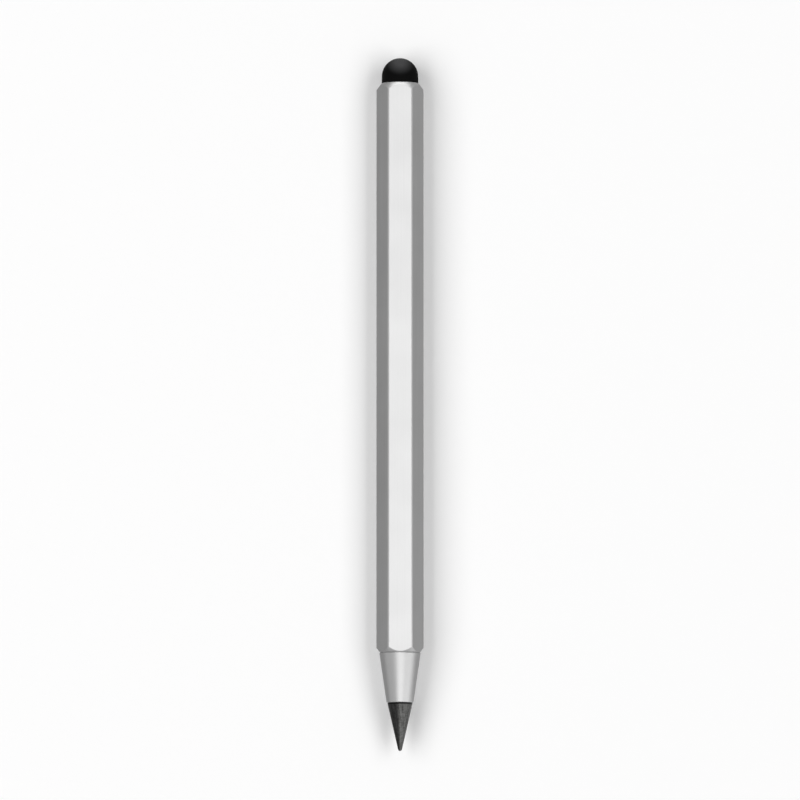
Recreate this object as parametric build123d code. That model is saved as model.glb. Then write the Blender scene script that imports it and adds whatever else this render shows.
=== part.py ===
from build123d import *
import math
import os

# Inkless metal pencil: a hexagonal aluminium tube with a screw-in writing tip at one end
# and a hollow rubber dome for touch screens at the other.
# Millimetres. It lies on one facet on z = 0, along Y, with the writing tip towards -Y.

# Barrel, a hexagonal aluminium tube with both ends turned to a cone
ACROSS_FLATS = 8.0
EDGE_RADIUS = 0.5
BARREL_LENGTH = 109.8
BARREL_WALL = 1.0  # at the middle of a facet
END_CONE_ANGLE = 36.0  # from the axis, at both ends
FRONT_FACET_CUT = 0.05  # depth of the front cone at the middle of a facet
RIM_BEVEL = 0.1  # broken edge of both end faces

# Tip holder, an aluminium cone with a threaded shank
HOLDER_LENGTH = 9.6
HOLDER_SETBACK = 0.01  # of the cone's base inside the facets
HOLDER_END_DIAMETER = 5.2
HOLDER_BASE_BEVEL = 0.14
HOLDER_END_BEVEL = 0.1

# Writing tip, a graphite alloy cone with a root bonded into the holder
TIP_LENGTH = 9.3
TIP_STEP = 0.15  # of the tip's base inside the holder's end
TIP_POINT_RADIUS = 0.4
TIP_GROOVE_WIDTH = 0.2  # of the groove where the tip meets the holder
TIP_GROOVE_DEPTH = 0.12
TIP_ROOT_DIAMETER = 2.8
TIP_ROOT_LENGTH = 5.0
BOND_GAP = 0.02  # of adhesive around the root

# Thread between holder and bush, metric coarse
THREAD_DIAMETER = 4.0
THREAD_PITCH = 0.7
THREAD_LENGTH = 7.0
THREAD_CLEARANCE = 0.07  # between the two threads, square to their faces
FLANK_ANGLE = 30.0  # from square to the axis

# Front bush, brass, pressed into the tube behind the ring
BUSH_LENGTH = 8.0
PRESS_GAP = 0.01  # left between a pressed piece and the bore

# Rubber ring on the holder's neck
RING_CLEARANCE = 0.04

# Stylus dome, hollow conductive silicone rubber
DOME_SETBACK = 0.5  # of the half ball inside the facets
DOME_SKIRT = 1.4  # height of the skirt below the half ball
DOME_FLARE = 0.04  # of the skirt where it meets the barrel
DOME_WALL = 0.9
DOME_RIM = 0.12  # flat rim of the barrel left round the skirt
DOME_LIP = 0.6  # thickness of the dome's inner lip above the barrel
COLLAR_DEPTH = 1.2  # of the dome's collar inside the bore
COLLAR_CLEARANCE = 0.05

# Stylus plug, brass, pressed into the rear of the tube
PLUG_LENGTH = 7.0
PLUG_HEAD_HEIGHT = 1.0
PLUG_HEAD_GAP = 0.45  # between the mushroom head and the dome's inner wall
PLUG_HEAD_CATCH = 0.6  # of the head over the dome's lip
PLUG_END_BEVEL = 0.4

# Places along the pencil, from the writing point to the top of the dome
axis_height = ACROSS_FLATS / 2
dome_radius = ACROSS_FLATS / 2 - DOME_SETBACK
overall_length = TIP_LENGTH + HOLDER_LENGTH + BARREL_LENGTH + DOME_SKIRT + dome_radius
point_y = -overall_length / 2
tip_base_y = point_y + TIP_LENGTH
front_y = tip_base_y + HOLDER_LENGTH
rear_y = front_y + BARREL_LENGTH
dome_centre_y = rear_y + DOME_SKIRT
top_y = dome_centre_y + dome_radius

# Radii and places that follow from the sizes above
bore_radius = ACROSS_FLATS / 2 - BARREL_WALL
front_end_radius = ACROSS_FLATS / 2 - FRONT_FACET_CUT
skirt_radius = dome_radius + DOME_FLARE
rear_end_radius = skirt_radius + DOME_RIM
press_radius = bore_radius - PRESS_GAP

holder_base_radius = ACROSS_FLATS / 2 - HOLDER_SETBACK
holder_end_radius = HOLDER_END_DIAMETER / 2
tip_base_radius = holder_end_radius - TIP_STEP
root_radius = TIP_ROOT_DIAMETER / 2

thread_slope = math.tan(math.radians(FLANK_ANGLE))
sharp_depth = THREAD_PITCH / 2 / thread_slope
pitch_radius = THREAD_DIAMETER / 2 - sharp_depth * 3 / 8
nut_root_radius = THREAD_DIAMETER / 2
screw_crest_radius = nut_root_radius - THREAD_CLEARANCE
screw_root_radius = THREAD_DIAMETER / 2 - sharp_depth * 17 / 24
nut_crest_radius = screw_root_radius + THREAD_CLEARANCE
flank_shift = THREAD_CLEARANCE / math.cos(math.radians(FLANK_ANGLE)) / 2
ridge_overlap = THREAD_CLEARANCE / 2

neck_radius = THREAD_DIAMETER / 2
ring_thickness = bore_radius - neck_radius - 2 * RING_CLEARANCE
ring_room = ring_thickness + 2 * RING_CLEARANCE
neck_end_y = front_y + ring_room - RING_CLEARANCE
bush_y = front_y + ring_room
shank_end_y = neck_end_y + THREAD_LENGTH
thread_start_y = neck_end_y - THREAD_PITCH

cavity_radius = dome_radius - DOME_WALL
head_radius = cavity_radius - PLUG_HEAD_GAP
plug_neck_radius = head_radius - PLUG_HEAD_CATCH


def on_axis(shape):
    """Turn a shape made about Z, with Z as its place along the pencil, onto the pencil's axis."""
    return Pos(0, 0, axis_height) * Rot(X=-90) * shape


def turned(*edges):
    """Solid of revolution about the pencil's axis, from a closed outline of radius and place."""
    outline = Face(Wire(edges))
    return Solid.revolve(outline, 360, Axis.Z)


def corners(*points, close=True):
    """Straight edges through points given as radius and place along the pencil."""
    return Polyline(*[(radius, 0, place) for radius, place in points], close=close).edges()


def cap_arc(radius, base_place, height):
    """Arc of a round cap, from its rim to its pole on the axis, up to a half ball."""
    ball_radius = (radius**2 + height**2) / (2 * height)
    centre_place = base_place + height - ball_radius
    middle_angle = math.asin(min(radius / ball_radius, 1)) / 2
    return ThreePointArc(
        (radius, 0, base_place),
        (ball_radius * math.sin(middle_angle), 0, centre_place + ball_radius * math.cos(middle_angle)),
        (0, 0, base_place + height),
    )


def thread_ridge(start_place, turns, base_radius, crest_radius):
    """Helical ridge of the right-hand thread, on a screw if its crest is outside its base, or in a nut."""
    outward = 1 if crest_radius > base_radius else -1
    base_half = THREAD_PITCH / 4 - outward * (base_radius - pitch_radius) * thread_slope - flank_shift
    crest_half = THREAD_PITCH / 4 - outward * (crest_radius - pitch_radius) * thread_slope - flank_shift
    section = corners(
        (base_radius, -base_half),
        (crest_radius, -crest_half),
        (crest_radius, crest_half),
        (base_radius, base_half),
    )
    path = Helix(THREAD_PITCH, THREAD_PITCH * turns, pitch_radius)
    ridge = Solid.sweep(Face(Wire(section)), Wire([path]), is_frenet=True)
    return Pos(0, 0, start_place) * ridge


def make_barrel():
    """Hexagonal tube with rounded long edges, both ends turned to a cone."""
    hexagon = RegularPolygon(ACROSS_FLATS / 2, 6, major_radius=False)
    hexagon = fillet(hexagon.vertices(), EDGE_RADIUS)
    bar = Pos(0, 0, front_y) * extrude(hexagon, BARREL_LENGTH)
    outer_radius = ACROSS_FLATS
    cone_slope = math.tan(math.radians(END_CONE_ANGLE))
    front_cone = (outer_radius - front_end_radius) / cone_slope
    rear_cone = (outer_radius - rear_end_radius) / cone_slope
    lathe_form = turned(
        *corners(
            (bore_radius + RIM_BEVEL, front_y),
            (front_end_radius - RIM_BEVEL, front_y),
            (front_end_radius, front_y + RIM_BEVEL),
            (outer_radius, front_y + RIM_BEVEL + front_cone),
            (outer_radius, rear_y - RIM_BEVEL - rear_cone),
            (rear_end_radius, rear_y - RIM_BEVEL),
            (rear_end_radius - RIM_BEVEL, rear_y),
            (bore_radius, rear_y),
            (bore_radius, front_y + RIM_BEVEL),
        )
    )
    return bar & lathe_form


def make_front_bush():
    """Threaded brass bush, its thread cut back at both mouths to lead the shank in."""
    end_y = bush_y + BUSH_LENGTH
    sleeve = turned(
        *corners(
            (nut_root_radius, bush_y),
            (press_radius, bush_y),
            (press_radius, end_y),
            (nut_root_radius, end_y),
        )
    )
    turns = math.ceil(BUSH_LENGTH / THREAD_PITCH) + 2
    ridge = thread_ridge(
        thread_start_y - THREAD_PITCH / 2, turns, nut_root_radius + ridge_overlap, nut_crest_radius
    )
    lead_in = nut_root_radius - nut_crest_radius + 2 * ridge_overlap
    thread_form = turned(
        *corners(
            (nut_root_radius + ridge_overlap, bush_y),
            (press_radius, bush_y),
            (press_radius, end_y),
            (nut_root_radius + ridge_overlap, end_y),
            (nut_crest_radius - ridge_overlap, end_y - lead_in),
            (nut_crest_radius - ridge_overlap, bush_y + lead_in),
        )
    )
    return sleeve + (ridge & thread_form)


def make_tip_holder():
    """Turned cone with a blind hole for the tip's root, a plain neck and a threaded shank."""
    hole_radius = root_radius + BOND_GAP
    hole_end_y = tip_base_y + TIP_ROOT_LENGTH + BOND_GAP
    lead_in = screw_crest_radius - screw_root_radius
    taper = (holder_base_radius - holder_end_radius) / HOLDER_LENGTH
    body = turned(
        *corners(
            (0, hole_end_y),
            (hole_radius, hole_end_y),
            (hole_radius, tip_base_y),
            (holder_end_radius - HOLDER_END_BEVEL, tip_base_y),
            (holder_end_radius + taper * HOLDER_END_BEVEL, tip_base_y + HOLDER_END_BEVEL),
            (holder_base_radius - taper * HOLDER_BASE_BEVEL, front_y - HOLDER_BASE_BEVEL),
            (holder_base_radius - HOLDER_BASE_BEVEL, front_y),
            (neck_radius, front_y),
            (neck_radius, neck_end_y),
            (screw_root_radius, neck_end_y),
            (screw_root_radius, shank_end_y),
            (0, shank_end_y),
        )
    )
    turns = THREAD_LENGTH / THREAD_PITCH + 2
    ridge = thread_ridge(
        thread_start_y, turns, screw_root_radius - ridge_overlap, screw_crest_radius
    )
    shank_form = turned(
        *corners(
            (0, neck_end_y - THREAD_PITCH / 2),
            (neck_radius, neck_end_y - THREAD_PITCH / 2),
            (neck_radius, shank_end_y - lead_in),
            (screw_crest_radius, shank_end_y - lead_in),
            (screw_root_radius, shank_end_y),
            (0, shank_end_y),
        )
    )
    return body + (ridge & shank_form)


def make_tip_o_ring():
    """Rubber ring between the holder's neck and the bore."""
    centre_radius = (neck_radius + bore_radius) / 2
    centre_place = front_y + ring_room / 2
    ring = Solid.make_torus(centre_radius, ring_thickness / 2)
    return Pos(0, 0, centre_place) * ring


def make_writing_tip():
    """Cone that runs tangent into a rounded point, with a groove at its base and a cylindrical root."""
    ball_y = point_y + TIP_POINT_RADIUS
    reach = math.hypot(tip_base_radius, tip_base_y - ball_y)
    half_angle = math.atan2(tip_base_radius, tip_base_y - ball_y) - math.asin(TIP_POINT_RADIUS / reach)
    tangent_radius = TIP_POINT_RADIUS * math.cos(half_angle)
    tangent_y = ball_y - TIP_POINT_RADIUS * math.sin(half_angle)
    arc_angle = (math.pi / 2 - half_angle) / 2
    groove_edge_radius = tip_base_radius - TIP_GROOVE_WIDTH * math.tan(half_angle)
    root_end_y = tip_base_y + TIP_ROOT_LENGTH
    point = ThreePointArc(
        (0, 0, point_y),
        (TIP_POINT_RADIUS * math.sin(arc_angle), 0, ball_y - TIP_POINT_RADIUS * math.cos(arc_angle)),
        (tangent_radius, 0, tangent_y),
    )
    sides = corners(
        (tangent_radius, tangent_y),
        (groove_edge_radius, tip_base_y - TIP_GROOVE_WIDTH),
        (tip_base_radius - TIP_GROOVE_DEPTH, tip_base_y),
        (root_radius, tip_base_y),
        (root_radius, root_end_y),
        (0, root_end_y),
        (0, point_y),
        close=False,
    )
    return turned(point, *sides)


def make_stylus_plug():
    """Pressed-in plug whose neck and mushroom head hold the dome's inner lip."""
    seat_y = rear_y - COLLAR_DEPTH - COLLAR_CLEARANCE
    end_y = seat_y - PLUG_LENGTH
    head_y = rear_y + DOME_LIP + COLLAR_CLEARANCE
    head_round = cap_arc(head_radius, head_y, PLUG_HEAD_HEIGHT)
    sides = corners(
        (0, head_y + PLUG_HEAD_HEIGHT),
        (0, end_y),
        (press_radius - PLUG_END_BEVEL, end_y),
        (press_radius, end_y + PLUG_END_BEVEL),
        (press_radius, seat_y),
        (plug_neck_radius, seat_y),
        (plug_neck_radius, head_y),
        (head_radius, head_y),
        close=False,
    )
    return turned(head_round, *sides)


def make_stylus_dome():
    """Hollow dome with a skirt on the barrel's rim, and a lip and collar round the plug's neck."""
    skin = cap_arc(dome_radius, dome_centre_y, dome_radius)
    cavity = cap_arc(cavity_radius, dome_centre_y, cavity_radius)
    crown = Line((0, 0, top_y), (0, 0, dome_centre_y + cavity_radius))
    lip_y = rear_y + DOME_LIP
    lip_radius = plug_neck_radius + COLLAR_CLEARANCE
    collar_y = rear_y - COLLAR_DEPTH
    collar_radius = bore_radius - COLLAR_CLEARANCE
    inside = corners(
        (cavity_radius, dome_centre_y),
        (cavity_radius, lip_y),
        (lip_radius, lip_y),
        (lip_radius, collar_y),
        (collar_radius, collar_y),
        (collar_radius, rear_y),
        (skirt_radius, rear_y),
        (dome_radius, dome_centre_y),
        close=False,
    )
    return turned(skin, crown, cavity, *inside)


PIECES = {
    "barrel": make_barrel,
    "front_bush": make_front_bush,
    "tip_holder": make_tip_holder,
    "tip_o_ring": make_tip_o_ring,
    "writing_tip": make_writing_tip,
    "stylus_plug": make_stylus_plug,
    "stylus_dome": make_stylus_dome,
}

os.makedirs("parts", exist_ok=True)
for name, make_piece in PIECES.items():
    export_step(on_axis(make_piece()), f"parts/{name}.step")
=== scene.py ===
import math

import bmesh
import bpy
from mathutils import Matrix, Vector


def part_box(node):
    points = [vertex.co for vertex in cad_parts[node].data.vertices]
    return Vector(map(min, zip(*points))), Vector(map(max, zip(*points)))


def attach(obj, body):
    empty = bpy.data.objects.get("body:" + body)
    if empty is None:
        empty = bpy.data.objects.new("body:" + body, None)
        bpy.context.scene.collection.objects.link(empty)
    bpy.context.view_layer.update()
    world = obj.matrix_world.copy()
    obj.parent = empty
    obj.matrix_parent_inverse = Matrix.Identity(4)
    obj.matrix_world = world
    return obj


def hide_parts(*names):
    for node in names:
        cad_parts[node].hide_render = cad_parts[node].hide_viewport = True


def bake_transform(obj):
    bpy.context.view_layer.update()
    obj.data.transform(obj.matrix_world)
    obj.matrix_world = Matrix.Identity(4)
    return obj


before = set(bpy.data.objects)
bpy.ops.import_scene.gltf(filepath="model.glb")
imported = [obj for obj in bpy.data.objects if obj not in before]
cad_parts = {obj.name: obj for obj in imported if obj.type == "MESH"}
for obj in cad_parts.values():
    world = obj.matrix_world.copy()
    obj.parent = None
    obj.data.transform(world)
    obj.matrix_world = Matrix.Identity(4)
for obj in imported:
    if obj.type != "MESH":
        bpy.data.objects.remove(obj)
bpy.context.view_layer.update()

bl_info = {
    "name": "Inkless Metal Pencil",
    "version": (1, 0, 0),
    "blender": (4, 5, 0),
    "location": "3D View > Sidebar > Pencil",
    "description": "Models the pencil's visible pieces on its frame, with their finishes and a stage",
    "category": "Add Mesh",
}

# Metres per millimetre: sizes are written in millimetres
MM = 0.001

# Steps of the turned and rounded shapes
TURN_STEPS = 144
THREAD_STEPS = 48
CORNER_STEPS = 6
FACET_STEPS = 16
ROUND_STEPS = 3
BREAK_STEPS = 2
POINT_STEPS = 10
DOME_STEPS = 24
RING_STEPS = 24

# Points closer than this are one point
MERGE_DISTANCE = 0.0001 * MM

# Edges that turn by more than this stay sharp
CREASE_ANGLE = math.radians(32)

# Half of the angle that one side of a hexagon takes up at its centre
HALF_SIDE = math.pi / 6

# Metric thread: angle of its flanks, and how deep its pitch line and its root lie in the sharp profile
THREAD_FLANK = math.radians(30)
PITCH_LINE_DEPTH = 3 / 8
ROOT_DEPTH = 17 / 24

# Turns of the thread's ridge that are hidden in the neck, and that are left off at the shank's end
HIDDEN_TURNS = 1
MISSING_TURNS = 0.5

# Painted highlight on one flank of the writing tip, at this angle from the top, fading in between two
# facings; the other flank keeps a darker colour as painted shade
PAINTED_HIGHLIGHT_ANGLE = math.radians(50)
PAINTED_HIGHLIGHT_START = 0.4
PAINTED_HIGHLIGHT_FULL = 0.6

# Painted highlight on the dome's crown between two facings, a little at first
PAINTED_CROWN_HIGHLIGHT_START = 0.68
PAINTED_CROWN_HIGHLIGHT_FULL = 0.98
PAINTED_CROWN_HIGHLIGHT_POWER = 1.5

# The floor's reach, in metres, and its gap under the facet that the pencil lies on
FLOOR_REACH = 3.0
FLOOR_GAP = 0.02 * MM

# Cards: two opposite corners, in millimetres, and the lean about the pencil's length
CARD_PLACES = {
    "left_grey_card": ((-95, -150, 0), (-5.5, 110, 0), 0),
    "right_grey_card": ((5.5, -59, 0), (95, 110, 0), 0),
    "right_pale_card": ((-45, -150, 110), (45, -50, 110), math.radians(58)),
}

# Soft boxes: direction from the pencil, distance and size in metres, and whether its shine shows them
SOFTBOX_PLACES = {
    "left_softbox": ((-1, 0, 1.235), 2.4, (2.8, 1.46), False),
    "right_softbox": ((1, 0, 1.4), 2.4, (2.8, 1.16), False),
    "overhead_softbox": ((0.04, -0.05, 1), 0.6, (0.62, 0.69), True),
    "end_softbox": ((0, 3.7, 1), 0.6, (0.5, 0.3), True),
}

# Places along the pencil, which lies along Y, read from the frame
barrel_low, barrel_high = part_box("barrel")
holder_low, holder_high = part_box("tip_holder")
tip_low, tip_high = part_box("writing_tip")
ring_low, ring_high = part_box("tip_o_ring")
dome_low, dome_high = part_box("stylus_dome")

axis_height = (barrel_low.z + barrel_high.z) / 2
half_flats = (barrel_high.z - barrel_low.z) / 2
front_y = barrel_low.y
rear_y = barrel_high.y
point_y = tip_low.y
tip_base_y = holder_low.y
root_end_y = tip_high.y
shank_end_y = holder_high.y
collar_y = dome_low.y
top_y = dome_high.y
axis_point = Vector((0, 0, axis_height))
along = Vector((0, 1, 0))


def linear(code):
    """Linear colour of an sRGB hex value."""
    channels = [int(code[place:place + 2], 16) / 255 for place in (1, 3, 5)]
    return [
        value / 12.92 if value <= 0.04045 else ((value + 0.055) / 1.055) ** 2.4
        for value in channels]


def shade(colour, strength=1.0):
    """Colour with its alpha for a node's socket, made lighter or darker."""
    return (*[strength * value for value in colour], 1)


def ramp(value, start, full):
    """Share of the way from a start to a full value, between 0 and 1."""
    return min(max((value - start) / (full - start), 0), 1)


class PencilSizes(bpy.types.PropertyGroup):
    """Sizes of the pieces that the frame's boxes don't give."""

    edge_radius: bpy.props.FloatProperty(
        name="Long edge radius", description="Rounding of the barrel's six long edges",
        default=0.5 * MM, unit="LENGTH", precision=5)
    barrel_wall: bpy.props.FloatProperty(
        name="Barrel wall", description="Wall of the tube at the middle of a facet",
        default=1.0 * MM, unit="LENGTH", precision=5)
    end_cone_angle: bpy.props.FloatProperty(
        name="End cone angle", description="Angle of both turned ends from the axis",
        default=math.radians(36), subtype="ANGLE")
    front_facet_cut: bpy.props.FloatProperty(
        name="Front cut", description="Depth of the front cone at the middle of a facet",
        default=0.05 * MM, unit="LENGTH", precision=5)
    rim_bevel: bpy.props.FloatProperty(
        name="Rim bevel", description="Broken edge of both end faces of the barrel",
        default=0.1 * MM, unit="LENGTH", precision=5)
    edge_break: bpy.props.FloatProperty(
        name="Edge break", description="Rounding left on a turned edge by tumbling",
        default=0.03 * MM, unit="LENGTH", precision=5)
    holder_setback: bpy.props.FloatProperty(
        name="Holder setback", description="How far the holder's base lies inside the facets",
        default=0.01 * MM, unit="LENGTH", precision=5)
    holder_end_diameter: bpy.props.FloatProperty(
        name="Holder end diameter", description="Diameter of the holder where the writing tip starts",
        default=5.2 * MM, unit="LENGTH", precision=5)
    holder_base_bevel: bpy.props.FloatProperty(
        name="Holder base bevel", description="Bevel of the holder where it meets the barrel",
        default=0.14 * MM, unit="LENGTH", precision=5)
    holder_end_bevel: bpy.props.FloatProperty(
        name="Holder end bevel", description="Bevel of the holder where it meets the writing tip",
        default=0.1 * MM, unit="LENGTH", precision=5)
    tip_step: bpy.props.FloatProperty(
        name="Tip step", description="How far the tip's base lies inside the holder's end",
        default=0.15 * MM, unit="LENGTH", precision=5)
    tip_point_radius: bpy.props.FloatProperty(
        name="Point radius", description="Radius of the rounded writing point",
        default=0.4 * MM, unit="LENGTH", precision=5)
    tip_groove_width: bpy.props.FloatProperty(
        name="Tip groove width", description="Groove of the tip where it meets the holder",
        default=0.2 * MM, unit="LENGTH", precision=5)
    tip_groove_depth: bpy.props.FloatProperty(
        name="Tip groove depth", description="Depth of the groove at the tip's base",
        default=0.12 * MM, unit="LENGTH", precision=5)
    # Reach of the painted shade line at the tip's base
    painted_shade_reach: bpy.props.FloatProperty(
        name="Bond reach", description="How far the dark line at the tip's base runs past its groove",
        default=0.12 * MM, unit="LENGTH", precision=5)
    tip_root_diameter: bpy.props.FloatProperty(
        name="Tip root diameter", description="Diameter of the root that is bonded into the holder",
        default=2.8 * MM, unit="LENGTH", precision=5)
    bond_gap: bpy.props.FloatProperty(
        name="Bond gap", description="Adhesive around the tip's root",
        default=0.02 * MM, unit="LENGTH", precision=5)
    thread_diameter: bpy.props.FloatProperty(
        name="Thread diameter", description="Outside diameter of the shank's metric thread",
        default=4.0 * MM, unit="LENGTH", precision=5)
    thread_pitch: bpy.props.FloatProperty(
        name="Thread pitch", description="Travel of the tip holder in one turn",
        default=0.7 * MM, unit="LENGTH", precision=5)
    thread_length: bpy.props.FloatProperty(
        name="Thread length", description="Length of the shank behind its neck",
        default=7.0 * MM, unit="LENGTH", precision=5)
    thread_clearance: bpy.props.FloatProperty(
        name="Thread clearance", description="Gap between the shank's thread and the bush's",
        default=0.07 * MM, unit="LENGTH", precision=5)
    dome_setback: bpy.props.FloatProperty(
        name="Dome setback", description="How far the rubber half ball lies inside the facets",
        default=0.5 * MM, unit="LENGTH", precision=5)
    dome_flare: bpy.props.FloatProperty(
        name="Dome flare", description="Widening of the dome's skirt towards the barrel",
        default=0.04 * MM, unit="LENGTH", precision=5)
    dome_wall: bpy.props.FloatProperty(
        name="Dome wall", description="Thickness of the rubber",
        default=0.9 * MM, unit="LENGTH", precision=5)
    dome_rim: bpy.props.FloatProperty(
        name="Dome rim", description="Flat rim of the barrel left round the dome's skirt",
        default=0.12 * MM, unit="LENGTH", precision=5)
    dome_lip: bpy.props.FloatProperty(
        name="Dome lip", description="Thickness of the dome's inner lip above the barrel",
        default=0.6 * MM, unit="LENGTH", precision=5)
    dome_hole_diameter: bpy.props.FloatProperty(
        name="Dome hole diameter", description="Hole of the dome's lip, round the plug's neck",
        default=3.2 * MM, unit="LENGTH", precision=5)
    collar_clearance: bpy.props.FloatProperty(
        name="Collar clearance", description="Gap between the dome's collar and the bore",
        default=0.05 * MM, unit="LENGTH", precision=5)


class PencilColours(bpy.types.PropertyGroup):
    """Base colours of the finishes."""

    aluminium: bpy.props.FloatVectorProperty(
        name="Anodised aluminium", description="Barrel, clear anodised",
        default=linear("#BCBCBC"), min=0, max=1, subtype="COLOR")
    turned_aluminium: bpy.props.FloatVectorProperty(
        name="Turned aluminium", description="Tip holder, fine turned",
        default=linear("#BCBCBC"), min=0, max=1, subtype="COLOR")
    # The writing tip's darker colour is painted shade on one flank
    graphite: bpy.props.FloatVectorProperty(
        name="Graphite alloy", description="Writing tip where it is still dull",
        default=linear("#373737"), min=0, max=1, subtype="COLOR")
    # Paler colour painted on the writing tip's other flank as a highlight
    painted_highlight_graphite: bpy.props.FloatVectorProperty(
        name="Burnished graphite", description="Flank of the writing tip that paper has burnished",
        default=linear("#555554"), min=0, max=1, subtype="COLOR")
    # Near black painted as shade in the groove where the tip meets the holder
    painted_groove_shade: bpy.props.FloatVectorProperty(
        name="Bond line", description="Adhesive and graphite dust in the groove at the tip's base",
        default=linear("#0C0C0C"), min=0, max=1, subtype="COLOR")
    silicone: bpy.props.FloatVectorProperty(
        name="Silicone rubber", description="Stylus dome",
        default=linear("#050505"), min=0, max=1, subtype="COLOR")
    # Paler colour painted on the dome's crown as a highlight
    painted_highlight_silicone: bpy.props.FloatVectorProperty(
        name="Rubbed rubber", description="Stylus dome where screens have rubbed it",
        default=linear("#404041"), min=0, max=1, subtype="COLOR")
    nitrile: bpy.props.FloatVectorProperty(
        name="Nitrile rubber", description="Ring on the holder's neck",
        default=linear("#161617"), min=0, max=1, subtype="COLOR")
    brass: bpy.props.FloatVectorProperty(
        name="Brass", description="Bush and plug inside the barrel",
        default=linear("#C9A55E"), min=0, max=1, subtype="COLOR")


class StageSettings(bpy.types.PropertyGroup):
    """Camera, floor and light."""

    elevation: bpy.props.FloatProperty(
        name="Camera elevation", description="Angle of the view above the floor, from the tip's side",
        default=math.radians(86.2), subtype="ANGLE")
    side_tilt: bpy.props.FloatProperty(
        name="Camera side tilt", description="Angle of the view from upright, to the pencil's left",
        default=math.radians(0.7), subtype="ANGLE")
    picture_width: bpy.props.FloatProperty(
        name="Picture width", description="Width of the picture at the pencil's axis",
        default=153.96 * MM, unit="LENGTH", precision=5)
    picture_drop: bpy.props.FloatProperty(
        name="Picture drop", description="How far the pencil's middle lies below the picture's",
        default=0.72 * MM, unit="LENGTH", precision=5)
    lens: bpy.props.FloatProperty(
        name="Lens", description="Focal length, long enough to show almost no perspective",
        default=400, unit="CAMERA")
    floor: bpy.props.FloatVectorProperty(
        name="Floor", description="Matt pale floor",
        default=linear("#FEFEFE"), min=0, max=1, subtype="COLOR")
    surroundings: bpy.props.FloatProperty(
        name="Surroundings", description="Brightness of the grey surroundings that the shine shows",
        default=0.7, min=0)
    soft_light: bpy.props.FloatProperty(
        name="Soft light", description="Brightness of the light that falls on the floor from all round",
        default=0.325, min=0)
    left_light: bpy.props.FloatProperty(
        name="Left light",
        description="Brightness of the soft box at the left, which lights the floor",
        default=2.66, min=0)
    right_light: bpy.props.FloatProperty(
        name="Right light",
        description="Brightness of the soft box at the right, which lights the floor",
        default=2.56, min=0)
    overhead_light: bpy.props.FloatProperty(
        name="Overhead light",
        description="Brightness of the soft box that the pencil's top reflects",
        default=1.22, min=0)
    end_light: bpy.props.FloatProperty(
        name="End light",
        description="Brightness of the soft box that edges facing the dome's end reflect",
        default=1.8, min=0)
    left_card: bpy.props.FloatProperty(
        name="Left grey card",
        description="Brightness of the card that the pencil's left side reflects",
        default=0.43, min=0)
    right_card: bpy.props.FloatProperty(
        name="Right grey card",
        description="Brightness of the card that the pencil's right side reflects",
        default=0.5, min=0)
    pale_card: bpy.props.FloatProperty(
        name="Pale card",
        description="Brightness of the card that the right of the holder and tip reflects",
        default=1.55, min=0)


def lathe_wire(bm, points):
    """Wire through points given as radius and place along the pencil, and its new vertices."""
    line = [bm.verts.new((radius, place, axis_height)) for radius, place in points]
    for first, second in zip(line, line[1:]):
        bm.edges.new((first, second))
    return line


def lathe_arc(bm, start, centre_place, angle, steps):
    """Arc of the lathe's outline from a vertex, about a centre on the axis, and its last vertex."""
    made = bmesh.ops.spin(
        bm, geom=[start], cent=(0, centre_place, axis_height), axis=(0, 0, 1), angle=angle, steps=steps)
    return next(item for item in made["geom_last"] if isinstance(item, bmesh.types.BMVert))


def round_corners(bm, corners, size):
    """Round corners of the lathe's outline, so that turned edges catch the light."""
    bmesh.ops.bevel(
        bm, geom=corners, affect="VERTICES", offset=size,
        segments=ROUND_STEPS, profile=0.5, material=-1)


def turn(bm):
    """Turn the outline round the pencil's axis, close its seam and poles, and face it outwards."""
    bmesh.ops.spin(
        bm, geom=bm.verts[:] + bm.edges[:], cent=axis_point, axis=along,
        angle=2 * math.pi, steps=TURN_STEPS, use_merge=True)
    bmesh.ops.remove_doubles(bm, verts=bm.verts[:], dist=MERGE_DISTANCE)
    bmesh.ops.recalc_face_normals(bm, faces=bm.faces[:])


def make_piece(bm, name, material):
    """Object of a finished bmesh, smooth but for its creases, with its large faces shaded evenly."""
    for face in bm.faces:
        face.smooth = True
    for edge in bm.edges:
        edge.smooth = edge.calc_face_angle(0) < CREASE_ANGLE
    mesh = bpy.data.meshes.new(name)
    bm.to_mesh(mesh)
    bm.free()
    mesh.materials.append(material)
    piece = bpy.data.objects.new(name, mesh)
    piece.modifiers.new("weighted_normals", "WEIGHTED_NORMAL").keep_sharp = True
    bpy.context.scene.collection.objects.link(piece)
    return piece


def fill_sockets(tree, node, inputs):
    """Fill a node's sockets with values, or with links from other sockets."""
    for name, value in inputs.items():
        if isinstance(value, bpy.types.NodeSocket):
            tree.links.new(value, node.inputs[name])
        else:
            node.inputs[name].default_value = value


def add_node(tree, kind, inputs=None, **settings):
    """Add a node with its settings, and fill its sockets."""
    node = tree.nodes.new(kind)
    for name, value in settings.items():
        setattr(node, name, value)
    fill_sockets(tree, node, inputs or {})
    return node


def new_material(name):
    """Empty node material, with its tree, its shader and the pencil's own coordinates in metres."""
    material = bpy.data.materials.new(name)
    material.use_nodes = True
    tree = material.node_tree
    tree.nodes.clear()
    shader = add_node(tree, "ShaderNodeBsdfPrincipled")
    add_node(tree, "ShaderNodeOutputMaterial", {"Surface": shader.outputs["BSDF"]})
    place = add_node(tree, "ShaderNodeTexCoord").outputs["Object"]
    return material, tree, shader, place


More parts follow.
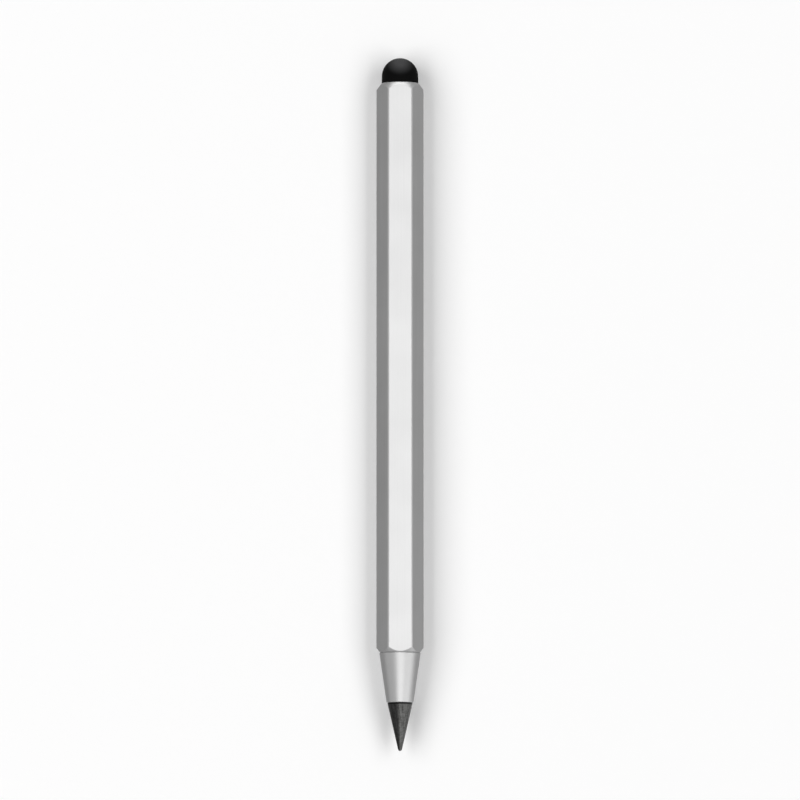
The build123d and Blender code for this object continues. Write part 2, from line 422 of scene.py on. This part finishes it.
def satin_anodised_aluminium(colour):
    """Drawn tube, bead blasted and clear anodised: an even soft sheen with a faint grit and draw lines,
    a little brighter where hands have rubbed the long edges."""
    material, tree, shader, place = new_material("satin_anodised_aluminium")
    # Blasting leaves pits of about 0.05 mm, drawn at 0.2 mm so that they show
    grit = add_node(tree, "ShaderNodeTexNoise", {
        "Vector": place, "Scale": 1 / (0.2 * MM), "Detail": 2.0})
    # Draw lines 0.35 mm apart across the tube, each some 30 mm long
    stretch = add_node(tree, "ShaderNodeMapping", {
        "Vector": place, "Scale": (1 / (0.35 * MM), 1 / (30 * MM), 1 / (0.35 * MM))})
    lines = add_node(tree, "ShaderNodeTexNoise", {"Vector": stretch.outputs["Vector"], "Scale": 1.0})
    # Clouds of about 9 mm in the anodising
    cloud = add_node(tree, "ShaderNodeTexNoise", {"Vector": place, "Scale": 1 / (9 * MM)})
    rub = add_node(tree, "ShaderNodeAttribute", attribute_name="edge_rub")
    marks = add_node(tree, "ShaderNodeMath", {
        0: cloud.outputs["Fac"], 1: lines.outputs["Fac"]}, operation="ADD")
    tint = add_node(tree, "ShaderNodeMapRange", {
        "Value": marks.outputs["Value"], "From Min": 0.7, "From Max": 1.3})
    body = add_node(
        tree, "ShaderNodeMix",
        {"Factor": tint.outputs["Result"], "A": shade(colour, 0.95), "B": shade(colour, 1.03)},
        data_type="RGBA")
    worn = add_node(
        tree, "ShaderNodeMix",
        {"Factor": rub.outputs["Fac"], "A": body.outputs["Result"], "B": shade(colour, 1.08)},
        data_type="RGBA")
    grain = add_node(tree, "ShaderNodeMapRange", {
        "Value": lines.outputs["Fac"], "From Min": 0.25, "From Max": 0.75,
        "To Min": 0.36, "To Max": 0.42})
    sheen = add_node(tree, "ShaderNodeMath", {
        0: rub.outputs["Fac"], 1: -0.04, 2: grain.outputs["Result"]}, operation="MULTIPLY_ADD")
    relief = add_node(tree, "ShaderNodeBump", {
        "Height": grit.outputs["Fac"], "Strength": 0.25, "Distance": 0.006 * MM})
    fill_sockets(tree, shader, {
        "Base Color": worn.outputs["Result"],
        "Roughness": sheen.outputs["Value"],
        "Normal": relief.outputs["Normal"],
        "Metallic": 1.0,
    })
    return material


def fine_turned_aluminium(colour):
    """Cone turned on a lathe with a fine feed, then anodised: faint rings round a soft sheen."""
    material, tree, shader, place = new_material("fine_turned_aluminium")
    # Feed marks are 0.08 mm apart, drawn at 0.5 mm so that they show
    feed = 0.5 * MM
    rings = add_node(
        tree, "ShaderNodeTexWave",
        {
            "Vector": place, "Scale": math.pi / (10 * feed),
            "Distortion": 0.6, "Detail": 1.0, "Detail Scale": 3.0,
        },
        wave_type="BANDS", bands_direction="Y")
    # Its skin has grit like the barrel's, and clouds of about 4 mm
    grit = add_node(tree, "ShaderNodeTexNoise", {
        "Vector": place, "Scale": 1 / (0.2 * MM), "Detail": 2.0})
    cloud = add_node(tree, "ShaderNodeTexNoise", {"Vector": place, "Scale": 1 / (4 * MM)})
    body = add_node(
        tree, "ShaderNodeMix",
        {"Factor": cloud.outputs["Fac"], "A": shade(colour, 0.95), "B": shade(colour)},
        data_type="RGBA")
    sheen = add_node(tree, "ShaderNodeMapRange", {
        "Value": grit.outputs["Fac"], "From Min": 0.3, "From Max": 0.7,
        "To Min": 0.36, "To Max": 0.41})
    height = add_node(tree, "ShaderNodeMath", {
        0: grit.outputs["Fac"], 1: 0.6, 2: rings.outputs["Fac"]}, operation="MULTIPLY_ADD")
    relief = add_node(tree, "ShaderNodeBump", {
        "Height": height.outputs["Value"], "Strength": 0.35, "Distance": 0.01 * MM})
    fill_sockets(tree, shader, {
        "Base Color": body.outputs["Result"],
        "Roughness": sheen.outputs["Result"],
        "Normal": relief.outputs["Normal"],
        "Metallic": 1.0,
    })
    return material


def graphite_alloy(colour, painted_highlight_colour, painted_groove_shade):
    """Graphite bound in soft metal: dark grey with a satin metal sheen, a fine speckle, streaks of use
    along the cone and faint turned rings, with a painted highlight on one flank, which is also smoother
    there, painted shade on the other flank, and a dark line of painted shade in the groove at its base."""
    material, tree, shader, place = new_material("graphite_alloy")
    # Grains are about 0.05 mm, drawn at 0.25 mm so that they show
    grain = add_node(tree, "ShaderNodeTexNoise", {
        "Vector": place, "Scale": 1 / (0.25 * MM), "Detail": 3.0})
    # Rings left by turning, drawn 0.5 mm apart
    feed = 0.5 * MM
    rings = add_node(
        tree, "ShaderNodeTexWave",
        {
            "Vector": place, "Scale": math.pi / (10 * feed),
            "Distortion": 1.5, "Detail": 2.0, "Detail Scale": 2.0,
        },
        wave_type="BANDS", bands_direction="Y")
    # Streaks 0.4 mm across, some 6 mm long
    stretch = add_node(tree, "ShaderNodeMapping", {
        "Vector": place, "Scale": (1 / (0.4 * MM), 1 / (6 * MM), 1 / (0.4 * MM))})
    streaks = add_node(tree, "ShaderNodeTexNoise", {"Vector": stretch.outputs["Vector"], "Scale": 1.0})
    both = add_node(tree, "ShaderNodeMath", {
        0: grain.outputs["Fac"], 1: streaks.outputs["Fac"]}, operation="ADD")
    speckle = add_node(tree, "ShaderNodeMapRange", {
        "Value": both.outputs["Value"], "From Min": 0.7, "From Max": 1.3,
        "To Min": 0.5, "To Max": 1.5})
    # Mask of the painted highlight on one flank, which is also smoother; where it is 0 the darker
    # colour stands as painted shade
    rub = add_node(tree, "ShaderNodeAttribute", attribute_name="flank_painted_highlight")
    worn = add_node(
        tree, "ShaderNodeMix",
        {"Factor": rub.outputs["Fac"], "A": shade(colour), "B": shade(painted_highlight_colour)},
        data_type="RGBA")
    body = add_node(
        tree, "ShaderNodeMix",
        {"Factor": 1.0, "A": worn.outputs["Result"], "B": speckle.outputs["Result"]},
        data_type="RGBA", blend_type="MULTIPLY")
    # Painted shade in the groove where the tip meets the holder
    line = add_node(tree, "ShaderNodeAttribute", attribute_name="painted_shade_line")
    edged = add_node(
        tree, "ShaderNodeMix",
        {"Factor": line.outputs["Fac"], "A": body.outputs["Result"], "B": shade(painted_groove_shade)},
        data_type="RGBA")
    matt = add_node(tree, "ShaderNodeMapRange", {
        "Value": grain.outputs["Fac"], "From Min": 0.3, "From Max": 0.7,
        "To Min": 0.36, "To Max": 0.48})
    sheen = add_node(tree, "ShaderNodeMath", {
        0: rub.outputs["Fac"], 1: -0.06, 2: matt.outputs["Result"]}, operation="MULTIPLY_ADD")
    height = add_node(tree, "ShaderNodeMath", {
        0: grain.outputs["Fac"], 1: 0.8, 2: rings.outputs["Fac"]}, operation="MULTIPLY_ADD")
    relief = add_node(tree, "ShaderNodeBump", {
        "Height": height.outputs["Value"], "Strength": 0.35, "Distance": 0.01 * MM})
    fill_sockets(tree, shader, {
        "Base Color": edged.outputs["Result"],
        "Roughness": sheen.outputs["Value"],
        "Normal": relief.outputs["Normal"],
        "Metallic": 1.0,
    })
    return material


def satin_rubber(name, colour, rubbed, grain_size):
    """Moulded rubber: near black and dull, with the fine grain of its mould, greyer and smoother where
    a painted highlight lies on the dome's crown."""
    material, tree, shader, place = new_material(name)
    grain = add_node(tree, "ShaderNodeTexNoise", {
        "Vector": place, "Scale": 1 / grain_size, "Detail": 2.0})
    # Mask and colour of the painted highlight on the dome's crown; the ring passes its own colour, so
    # it shows none
    rub = add_node(tree, "ShaderNodeAttribute", attribute_name="crown_painted_highlight")
    body = add_node(
        tree, "ShaderNodeMix",
        {"Factor": grain.outputs["Fac"], "A": shade(colour, 0.7), "B": shade(colour)},
        data_type="RGBA")
    worn = add_node(
        tree, "ShaderNodeMix",
        {"Factor": rub.outputs["Fac"], "A": body.outputs["Result"], "B": shade(rubbed)},
        data_type="RGBA")
    matt = add_node(tree, "ShaderNodeMapRange", {
        "Value": grain.outputs["Fac"], "From Min": 0.3, "From Max": 0.7,
        "To Min": 0.68, "To Max": 0.76})
    sheen = add_node(tree, "ShaderNodeMath", {
        0: rub.outputs["Fac"], 1: -0.3, 2: matt.outputs["Result"]}, operation="MULTIPLY_ADD")
    relief = add_node(tree, "ShaderNodeBump", {
        "Height": grain.outputs["Fac"], "Strength": 0.2, "Distance": 0.01 * MM})
    # Its dull skin mirrors less than its index says
    fill_sockets(tree, shader, {
        "Base Color": worn.outputs["Result"],
        "Roughness": sheen.outputs["Value"],
        "Normal": relief.outputs["Normal"],
        "IOR": 1.42,
        "Specular IOR Level": 0.09,
    })
    return material


def turned_brass(colour):
    """Free-cutting brass straight from the lathe: warm yellow, bright, with rings of the tool."""
    material, tree, shader, place = new_material("turned_brass")
    # Feed marks are 0.1 mm apart, drawn at 0.2 mm so that they show
    feed = 0.2 * MM
    rings = add_node(
        tree, "ShaderNodeTexWave",
        {"Vector": place, "Scale": math.pi / (10 * feed), "Distortion": 0.8, "Detail": 1.0},
        wave_type="BANDS", bands_direction="Y")
    # Spots of tarnish of about 2 mm
    tarnish = add_node(tree, "ShaderNodeTexNoise", {
        "Vector": place, "Scale": 1 / (2 * MM), "Detail": 3.0})
    body = add_node(
        tree, "ShaderNodeMix",
        {"Factor": tarnish.outputs["Fac"], "A": shade(colour, 0.8), "B": shade(colour)},
        data_type="RGBA")
    sheen = add_node(tree, "ShaderNodeMapRange", {
        "Value": rings.outputs["Fac"], "To Min": 0.24, "To Max": 0.32})
    relief = add_node(tree, "ShaderNodeBump", {
        "Height": rings.outputs["Fac"], "Strength": 0.3, "Distance": 0.008 * MM})
    fill_sockets(tree, shader, {
        "Base Color": body.outputs["Result"],
        "Roughness": sheen.outputs["Result"],
        "Normal": relief.outputs["Normal"],
        "Metallic": 1.0,
    })
    return material


def hexagon_ring(bm, edge_radius):
    """Closed ring of edges round the rounded hexagon, with a facet uppermost, at the barrel's front."""
    upright = Matrix.Translation((0, front_y, axis_height)) @ Matrix.Rotation(math.pi / 2, 4, "X")
    bmesh.ops.create_circle(
        bm, cap_ends=True, segments=6, radius=half_flats / math.cos(HALF_SIDE),
        matrix=upright @ Matrix.Rotation(HALF_SIDE, 4, "Z"))
    bmesh.ops.bevel(
        bm, geom=bm.verts[:], affect="VERTICES", offset=edge_radius * math.tan(HALF_SIDE),
        segments=CORNER_STEPS, profile=0.5, material=-1)
    # The flats are the edges longer than a rounding, divided so that the end cones cut them in curves
    flats = [edge for edge in bm.edges if edge.calc_length() > edge_radius]
    bmesh.ops.subdivide_edges(bm, edges=flats, cuts=FACET_STEPS - 1)
    bmesh.ops.delete(bm, geom=bm.faces[:], context="FACES_ONLY")
    return bm.edges[:]


def ring_points(ring):
    """Vertices of a ring of edges."""
    return list({point for edge in ring for point in edge.verts})


def arm_of(point):
    """Vector from the pencil's axis to a vertex, square to the axis."""
    return Vector((point.co.x, 0, point.co.z - axis_height))


def extrude_ring(bm, ring):
    """Ring of edges extruded from a closed one."""
    made = bmesh.ops.extrude_edge_only(bm, edges=ring)["geom"]
    points = {item for item in made if isinstance(item, bmesh.types.BMVert)}
    edges = [item for item in made if isinstance(item, bmesh.types.BMEdge)]
    return [edge for edge in edges if points.issuperset(edge.verts)]


def turned_ring(bm, ring, radius, place):
    """Ring extruded from a closed one, set on a circle round the axis."""
    ring = extrude_ring(bm, ring)
    for point in ring_points(ring):
        arm = arm_of(point).normalized() * radius
        point.co = (arm.x, place, axis_height + arm.z)
    return ring


class PENCIL_OT_barrel(bpy.types.Operator):
    """Hexagonal tube with rounded long edges, both ends turned to a cone"""

    bl_idname = "pencil.barrel"
    bl_label = "Barrel"

    def execute(self, context):
        sizes = context.scene.pencil_sizes
        slope = math.tan(sizes.end_cone_angle)
        bore = half_flats - sizes.barrel_wall
        bevel = sizes.rim_bevel
        front_radius = half_flats - sizes.front_facet_cut
        rear_radius = half_flats - sizes.dome_setback + sizes.dome_flare + sizes.dome_rim

        bm = bmesh.new()
        front_arcs = hexagon_ring(bm, sizes.edge_radius)
        rear_arcs = extrude_ring(bm, front_arcs)
        for point in ring_points(front_arcs):
            point.co.y = front_y + bevel + (arm_of(point).length - front_radius) / slope
        for point in ring_points(rear_arcs):
            point.co.y = rear_y - bevel - (arm_of(point).length - rear_radius) / slope
        ring = rear_arcs
        for radius, place in (
            (rear_radius, rear_y - bevel),
            (rear_radius - bevel, rear_y),
            (bore, rear_y),
            (bore, front_y + bevel),
            (bore + bevel, front_y),
            (front_radius - bevel, front_y),
            (front_radius, front_y + bevel),
        ):
            ring = turned_ring(bm, ring, radius, place)
        bmesh.ops.bridge_loops(bm, edges=ring + front_arcs)
        bmesh.ops.bevel(
            bm, geom=front_arcs + rear_arcs, affect="EDGES", offset=sizes.edge_break,
            segments=BREAK_STEPS, profile=0.5, material=-1)
        bmesh.ops.recalc_face_normals(bm, faces=bm.faces[:])

        # Hands rub the barrel where its long edges are rounded
        flat_reach = math.hypot(half_flats, (half_flats - sizes.edge_radius) * math.tan(HALF_SIDE))
        rub = bm.verts.layers.float.new("edge_rub")
        for point in bm.verts:
            point[rub] = 1.0 if arm_of(point).length > flat_reach - MERGE_DISTANCE else 0.0

        material = satin_anodised_aluminium(context.scene.pencil_colours.aluminium)
        piece = make_piece(bm, "hexagonal_tube", material)
        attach(piece, "barrel")
        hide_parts("barrel")
        return {"FINISHED"}


class PENCIL_OT_tip_holder(bpy.types.Operator):
    """Turned cone with a blind hole for the tip's root, a plain neck and a threaded shank"""

    bl_idname = "pencil.tip_holder"
    bl_label = "Tip holder"

    def execute(self, context):
        sizes = context.scene.pencil_sizes
        base = half_flats - sizes.holder_setback
        end = sizes.holder_end_diameter / 2
        taper = (base - end) / (front_y - tip_base_y)
        hole = sizes.tip_root_diameter / 2 + sizes.bond_gap
        hole_end_y = root_end_y + sizes.bond_gap
        neck = sizes.thread_diameter / 2
        neck_end_y = shank_end_y - sizes.thread_length
        flank = math.tan(THREAD_FLANK)
        sharp_depth = sizes.thread_pitch / 2 / flank
        pitch_radius = neck - sharp_depth * PITCH_LINE_DEPTH
        root = neck - sharp_depth * ROOT_DEPTH
        crest = neck - sizes.thread_clearance
        lead_in = crest - root

        bm = bmesh.new()
        line = lathe_wire(bm, (
            (0, hole_end_y),
            (hole, hole_end_y),
            (hole, tip_base_y),
            (end - sizes.holder_end_bevel, tip_base_y),
            (end + taper * sizes.holder_end_bevel, tip_base_y + sizes.holder_end_bevel),
            (base - taper * sizes.holder_base_bevel, front_y - sizes.holder_base_bevel),
            (base - sizes.holder_base_bevel, front_y),
            (neck, front_y),
            (neck, neck_end_y),
            (root, neck_end_y),
            (root, shank_end_y - lead_in / 2),
            (root - lead_in / 2, shank_end_y),
            (0, shank_end_y),
        ))
        round_corners(bm, line[3:7], sizes.edge_break)
        turn(bm)

        # Ridge of the right-hand thread, a trapezium swept round the shank from inside its neck
        ridge = bmesh.new()
        sunk = root - sizes.thread_clearance / 2
        shift = sizes.thread_clearance / math.cos(THREAD_FLANK) / 2
        sunk_half = sizes.thread_pitch / 4 + (pitch_radius - sunk) * flank - shift
        crest_half = sizes.thread_pitch / 4 + (pitch_radius - crest) * flank - shift
        start_y = neck_end_y - HIDDEN_TURNS * sizes.thread_pitch
        section = lathe_wire(ridge, (
            (sunk, start_y - sunk_half),
            (crest, start_y - crest_half),
            (crest, start_y + crest_half),
            (sunk, start_y + sunk_half),
        ))
        ridge.edges.new((section[3], section[0]))
        turns = sizes.thread_length / sizes.thread_pitch + HIDDEN_TURNS - MISSING_TURNS
        bmesh.ops.spin(
            ridge, geom=ridge.verts[:] + ridge.edges[:], cent=axis_point, axis=along,
            dvec=along * (sizes.thread_pitch / THREAD_STEPS), angle=2 * math.pi * turns,
            steps=round(THREAD_STEPS * turns))
        bmesh.ops.holes_fill(ridge, edges=ridge.edges[:], sides=4)
        bmesh.ops.recalc_face_normals(ridge, faces=ridge.faces[:])
        # The lead-in cone cuts the ridge down towards the shank's end
        for point in ridge.verts:
            reach = min(arm_of(point).length, root + (shank_end_y - point.co.y))
            arm = arm_of(point).normalized() * reach
            point.co = (arm.x, min(point.co.y, shank_end_y), axis_height + arm.z)
        thread = bpy.data.meshes.new("thread_ridge")
        ridge.to_mesh(thread)
        ridge.free()
        bm.from_mesh(thread)
        bpy.data.meshes.remove(thread)

        material = fine_turned_aluminium(context.scene.pencil_colours.turned_aluminium)
        piece = make_piece(bm, "turned_cone", material)
        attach(piece, "tip")
        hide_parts("tip_holder")
        return {"FINISHED"}


class PENCIL_OT_writing_tip(bpy.types.Operator):
    """Graphite cone that runs tangent into a rounded point, with a root in the holder"""

    bl_idname = "pencil.writing_tip"
    bl_label = "Writing tip"

    def execute(self, context):
        sizes = context.scene.pencil_sizes
        base = sizes.holder_end_diameter / 2 - sizes.tip_step
        root = sizes.tip_root_diameter / 2
        ball_y = point_y + sizes.tip_point_radius
        reach = math.hypot(base, tip_base_y - ball_y)
        half_angle = math.atan2(base, tip_base_y - ball_y) - math.asin(sizes.tip_point_radius / reach)

        bm = bmesh.new()
        pole = bm.verts.new((0, point_y, axis_height))
        tangent = lathe_arc(bm, pole, ball_y, math.pi / 2 - half_angle, POINT_STEPS)
        groove_y = tip_base_y - sizes.tip_groove_width
        painted_shade_end_y = groove_y - sizes.painted_shade_reach
        line = lathe_wire(bm, (
            (base - (tip_base_y - painted_shade_end_y) * math.tan(half_angle), painted_shade_end_y),
            (base - sizes.tip_groove_width * math.tan(half_angle), groove_y),
            (base - sizes.tip_groove_depth, tip_base_y),
            (root, tip_base_y),
            (root, root_end_y),
            (0, root_end_y),
        ))
        bm.edges.new((tangent, line[0]))
        round_corners(bm, line[1:2], sizes.edge_break)
        turn(bm)

        # Painted highlight on the flank that faces this slant from the top, and painted shade on the
        # other flank
        # Mask of the painted shade line at the tip's base
        painted_groove_shade = bm.verts.layers.float.new("painted_shade_line")
        rub = bm.verts.layers.float.new("flank_painted_highlight")
        slant = Matrix.Rotation(PAINTED_HIGHLIGHT_ANGLE, 3, "Y") @ Vector((0, 0, 1))
        for point in bm.verts:
            facing = arm_of(point).normalized().dot(slant)
            point[rub] = ramp(facing, PAINTED_HIGHLIGHT_START, PAINTED_HIGHLIGHT_FULL)
            point[painted_groove_shade] = 1.0 if point.co.y > painted_shade_end_y + MERGE_DISTANCE else 0.0

        colours = context.scene.pencil_colours
        material = graphite_alloy(colours.graphite, colours.painted_highlight_graphite, colours.painted_groove_shade)
        piece = make_piece(bm, "graphite_point", material)
        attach(piece, "tip")
        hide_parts("writing_tip")
        return {"FINISHED"}


class PENCIL_OT_neck_ring(bpy.types.Operator):
    """Rubber ring between the holder's neck and the bore"""

    bl_idname = "pencil.neck_ring"
    bl_label = "Neck ring"

    def execute(self, context):
        thickness = ring_high.y - ring_low.y
        centre = Vector((ring_high.x - thickness / 2, (ring_low.y + ring_high.y) / 2, axis_height))
        bm = bmesh.new()
        bmesh.ops.create_circle(
            bm, segments=RING_STEPS, radius=thickness / 2, matrix=Matrix.Translation(centre))
        turn(bm)

        # Moulding leaves a grain of about 0.03 mm, drawn at 0.1 mm so that it shows
        colour = context.scene.pencil_colours.nitrile
        material = satin_rubber("matt_nitrile_rubber", colour, colour, 0.1 * MM)
        piece = make_piece(bm, "rubber_ring", material)
        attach(piece, "tip_ring")
        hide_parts("tip_o_ring")
        return {"FINISHED"}


class PENCIL_OT_dome(bpy.types.Operator):
    """Hollow rubber dome that stays on the barrel's rim while its crown is pressed in"""

    bl_idname = "pencil.dome"
    bl_label = "Stylus dome"

    def execute(self, context):
        sizes = context.scene.pencil_sizes
        ball = half_flats - sizes.dome_setback
        skirt = ball + sizes.dome_flare
        ball_y = top_y - ball
        cavity = ball - sizes.dome_wall
        lip_y = rear_y + sizes.dome_lip
        hole = sizes.dome_hole_diameter / 2
        collar = half_flats - sizes.barrel_wall - sizes.collar_clearance

        bm = bmesh.new()
        line = lathe_wire(bm, (
            (cavity, ball_y),
            (cavity, lip_y),
            (hole, lip_y),
            (hole, collar_y),
            (collar, collar_y),
            (collar, rear_y),
            (skirt, rear_y),
            (ball, ball_y),
        ))
        lathe_arc(bm, line[0], ball_y, math.pi / 2, DOME_STEPS)
        lathe_arc(bm, line[-1], ball_y, math.pi / 2, DOME_STEPS)
        round_corners(bm, line[6:7], sizes.edge_break)
        # Long walls are divided, so that they give way evenly
        straight = [edge for edge in bm.edges if edge.calc_length() > sizes.dome_wall]
        bmesh.ops.subdivide_edges(bm, edges=straight, cuts=ROUND_STEPS)
        turn(bm)

        # Painted highlight on the side of the crown's top that faces this slant
        rub = bm.verts.layers.float.new("crown_painted_highlight")
        slant = Vector((0, 1, 1)).normalized()
        for point in bm.verts:
            facing = (point.co - Vector((0, ball_y, axis_height))).normalized().dot(slant)
            point[rub] = ramp(facing, PAINTED_CROWN_HIGHLIGHT_START, PAINTED_CROWN_HIGHLIGHT_FULL) ** PAINTED_CROWN_HIGHLIGHT_POWER

        # Moulding leaves a grain of about 0.04 mm, drawn at 0.15 mm so that it shows
        colours = context.scene.pencil_colours
        material = satin_rubber(
            "satin_silicone_rubber", colours.silicone, colours.painted_highlight_silicone, 0.15 * MM)
        piece = make_piece(bm, "rubber_dome", material)
        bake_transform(piece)
        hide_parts("stylus_dome")
        return {"FINISHED"}


class PENCIL_OT_brass_parts(bpy.types.Operator):
    """Finish of the bush and the plug inside the barrel"""

    bl_idname = "pencil.brass_parts"
    bl_label = "Brass parts"

    def execute(self, context):
        material = turned_brass(context.scene.pencil_colours.brass)
        for node in ("front_bush", "stylus_plug"):
            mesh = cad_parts[node].data
            mesh.materials.clear()
            mesh.materials.append(material)
        return {"FINISHED"}


class PENCIL_OT_stage(bpy.types.Operator):
    """Pale floor, soft boxes and the camera over the pencil"""

    bl_idname = "pencil.stage"
    bl_label = "Stage"

    def add_softbox(self, name, direction, distance, size, shine, brightness):
        """Soft box that faces the pencil's middle, and is seen only in its shine or never in it."""
        direction = Vector(direction)
        lamp = bpy.data.lights.new(name, "AREA")
        lamp.shape = "RECTANGLE"
        lamp.size, lamp.size_y = size
        lamp.energy = brightness * math.pi * size[0] * size[1]
        box = bpy.data.objects.new(name, lamp)
        box.location = axis_point + direction.normalized() * distance
        box.rotation_euler = direction.to_track_quat("Z", "Y").to_euler()
        box.visible_camera = False
        box.visible_diffuse = not shine
        box.visible_glossy = shine
        bpy.context.scene.collection.objects.link(box)

    def add_floor(self, colour):
        """Matt floor just under the facet that the pencil lies on."""
        bm = bmesh.new()
        bmesh.ops.create_grid(
            bm, x_segments=1, y_segments=1, size=FLOOR_REACH,
            matrix=Matrix.Translation((0, 0, -FLOOR_GAP)))
        material, tree, shader, _ = new_material("matt_paper")
        fill_sockets(tree, shader, {
            "Base Color": shade(colour), "Roughness": 0.9, "Specular IOR Level": 0.0})
        make_piece(bm, "floor", material)

    def add_card(self, name, low, high, lean, brightness):
        """Flat card between two corners, then leant, that is seen only in the pencil's shine."""
        low, high = Vector(low) * MM, Vector(high) * MM
        level = Matrix.Translation((low + high) / 2) @ Matrix.Diagonal((*(high - low).xy, 1, 1))
        bm = bmesh.new()
        bmesh.ops.create_grid(
            bm, x_segments=1, y_segments=1, size=0.5, matrix=Matrix.Rotation(lean, 4, "Y") @ level)
        material = bpy.data.materials.new(name)
        material.use_nodes = True
        tree = material.node_tree
        tree.nodes.clear()
        glow = add_node(tree, "ShaderNodeEmission", {"Strength": brightness})
        add_node(tree, "ShaderNodeOutputMaterial", {"Surface": glow.outputs["Emission"]})
        card = make_piece(bm, name, material)
        card.visible_camera = False
        card.visible_diffuse = False
        card.visible_shadow = False
        card.visible_transmission = False

    def add_camera(self, stage):
        """Camera over the pencil, tilted a little towards the writing tip and to the left."""
        lens = bpy.data.cameras.new("camera")
        lens.lens = stage.lens
        camera = bpy.data.objects.new("camera", lens)
        tilt = Matrix.Rotation(math.pi / 2 - stage.elevation, 3, "X")
        aim = Matrix.Rotation(-stage.side_tilt, 3, "Y") @ tilt
        distance = stage.picture_width * stage.lens / lens.sensor_width
        camera.location = axis_point + aim @ Vector((0, stage.picture_drop, distance))
        camera.rotation_euler = aim.to_euler()
        lens.clip_end = 2 * distance
        bpy.context.scene.collection.objects.link(camera)
        bpy.context.scene.camera = camera

    def execute(self, context):
        stage = context.scene.pencil_stage
        self.add_floor(stage.floor)
        for name, brightness in (
            ("left_grey_card", stage.left_card),
            ("right_grey_card", stage.right_card),
            ("right_pale_card", stage.pale_card),
        ):
            self.add_card(name, *CARD_PLACES[name], brightness)
        for name, brightness in (
            ("left_softbox", stage.left_light),
            ("right_softbox", stage.right_light),
            ("overhead_softbox", stage.overhead_light),
            ("end_softbox", stage.end_light),
        ):
            self.add_softbox(name, *SOFTBOX_PLACES[name], brightness)
        self.add_camera(stage)
        world = bpy.data.worlds.new("studio")
        world.use_nodes = True
        tree = world.node_tree
        tree.nodes.clear()
        # The camera and the shine see the surroundings, and the floor gets its softer light
        path = add_node(tree, "ShaderNodeLightPath")
        seen = add_node(tree, "ShaderNodeMath", {
            0: path.outputs["Is Camera Ray"], 1: path.outputs["Is Glossy Ray"]}, operation="MAXIMUM")
        shown = add_node(tree, "ShaderNodeMath", {
            0: seen.outputs["Value"], 1: path.outputs["Is Transmission Ray"]}, operation="MAXIMUM")
        strength = add_node(tree, "ShaderNodeMapRange", {
            "Value": shown.outputs["Value"], "To Min": stage.soft_light, "To Max": stage.surroundings})
        sky = add_node(tree, "ShaderNodeBackground", {
            "Color": (1, 1, 1, 1), "Strength": strength.outputs["Result"]})
        add_node(tree, "ShaderNodeOutputWorld", {"Surface": sky.outputs["Background"]})
        context.scene.world = world
        context.scene.view_settings.view_transform = "Standard"
        return {"FINISHED"}


BUILDERS = (
    PENCIL_OT_barrel,
    PENCIL_OT_tip_holder,
    PENCIL_OT_writing_tip,
    PENCIL_OT_neck_ring,
    PENCIL_OT_dome,
    PENCIL_OT_brass_parts,
    PENCIL_OT_stage,
)


class PENCIL_PT_builder(bpy.types.Panel):
    """Sizes, colours and builders of the pencil"""

    bl_idname = "PENCIL_PT_builder"
    bl_label = "Inkless Metal Pencil"
    bl_space_type = "VIEW_3D"
    bl_region_type = "UI"
    bl_category = "Pencil"

    def draw(self, context):
        for place in GROUPS:
            group = getattr(context.scene, place)
            box = self.layout.box()
            for name in group.__annotations__:
                box.prop(group, name)
        for builder in BUILDERS:
            self.layout.operator(builder.bl_idname)


GROUPS = {
    "pencil_sizes": PencilSizes,
    "pencil_colours": PencilColours,
    "pencil_stage": StageSettings,
}


def register():
    for name, group in GROUPS.items():
        bpy.utils.register_class(group)
        setattr(bpy.types.Scene, name, bpy.props.PointerProperty(type=group))
    for shown in (*BUILDERS, PENCIL_PT_builder):
        bpy.utils.register_class(shown)


def unregister():
    for shown in (PENCIL_PT_builder, *reversed(BUILDERS)):
        bpy.utils.unregister_class(shown)
    for name, group in reversed(GROUPS.items()):
        delattr(bpy.types.Scene, name)
        bpy.utils.unregister_class(group)


def main():
    register()
    bpy.ops.pencil.barrel()
    bpy.ops.pencil.tip_holder()
    bpy.ops.pencil.writing_tip()
    bpy.ops.pencil.neck_ring()
    bpy.ops.pencil.dome()
    bpy.ops.pencil.brass_parts()
    bpy.ops.pencil.stage()


if __name__ == "__main__":
    main()
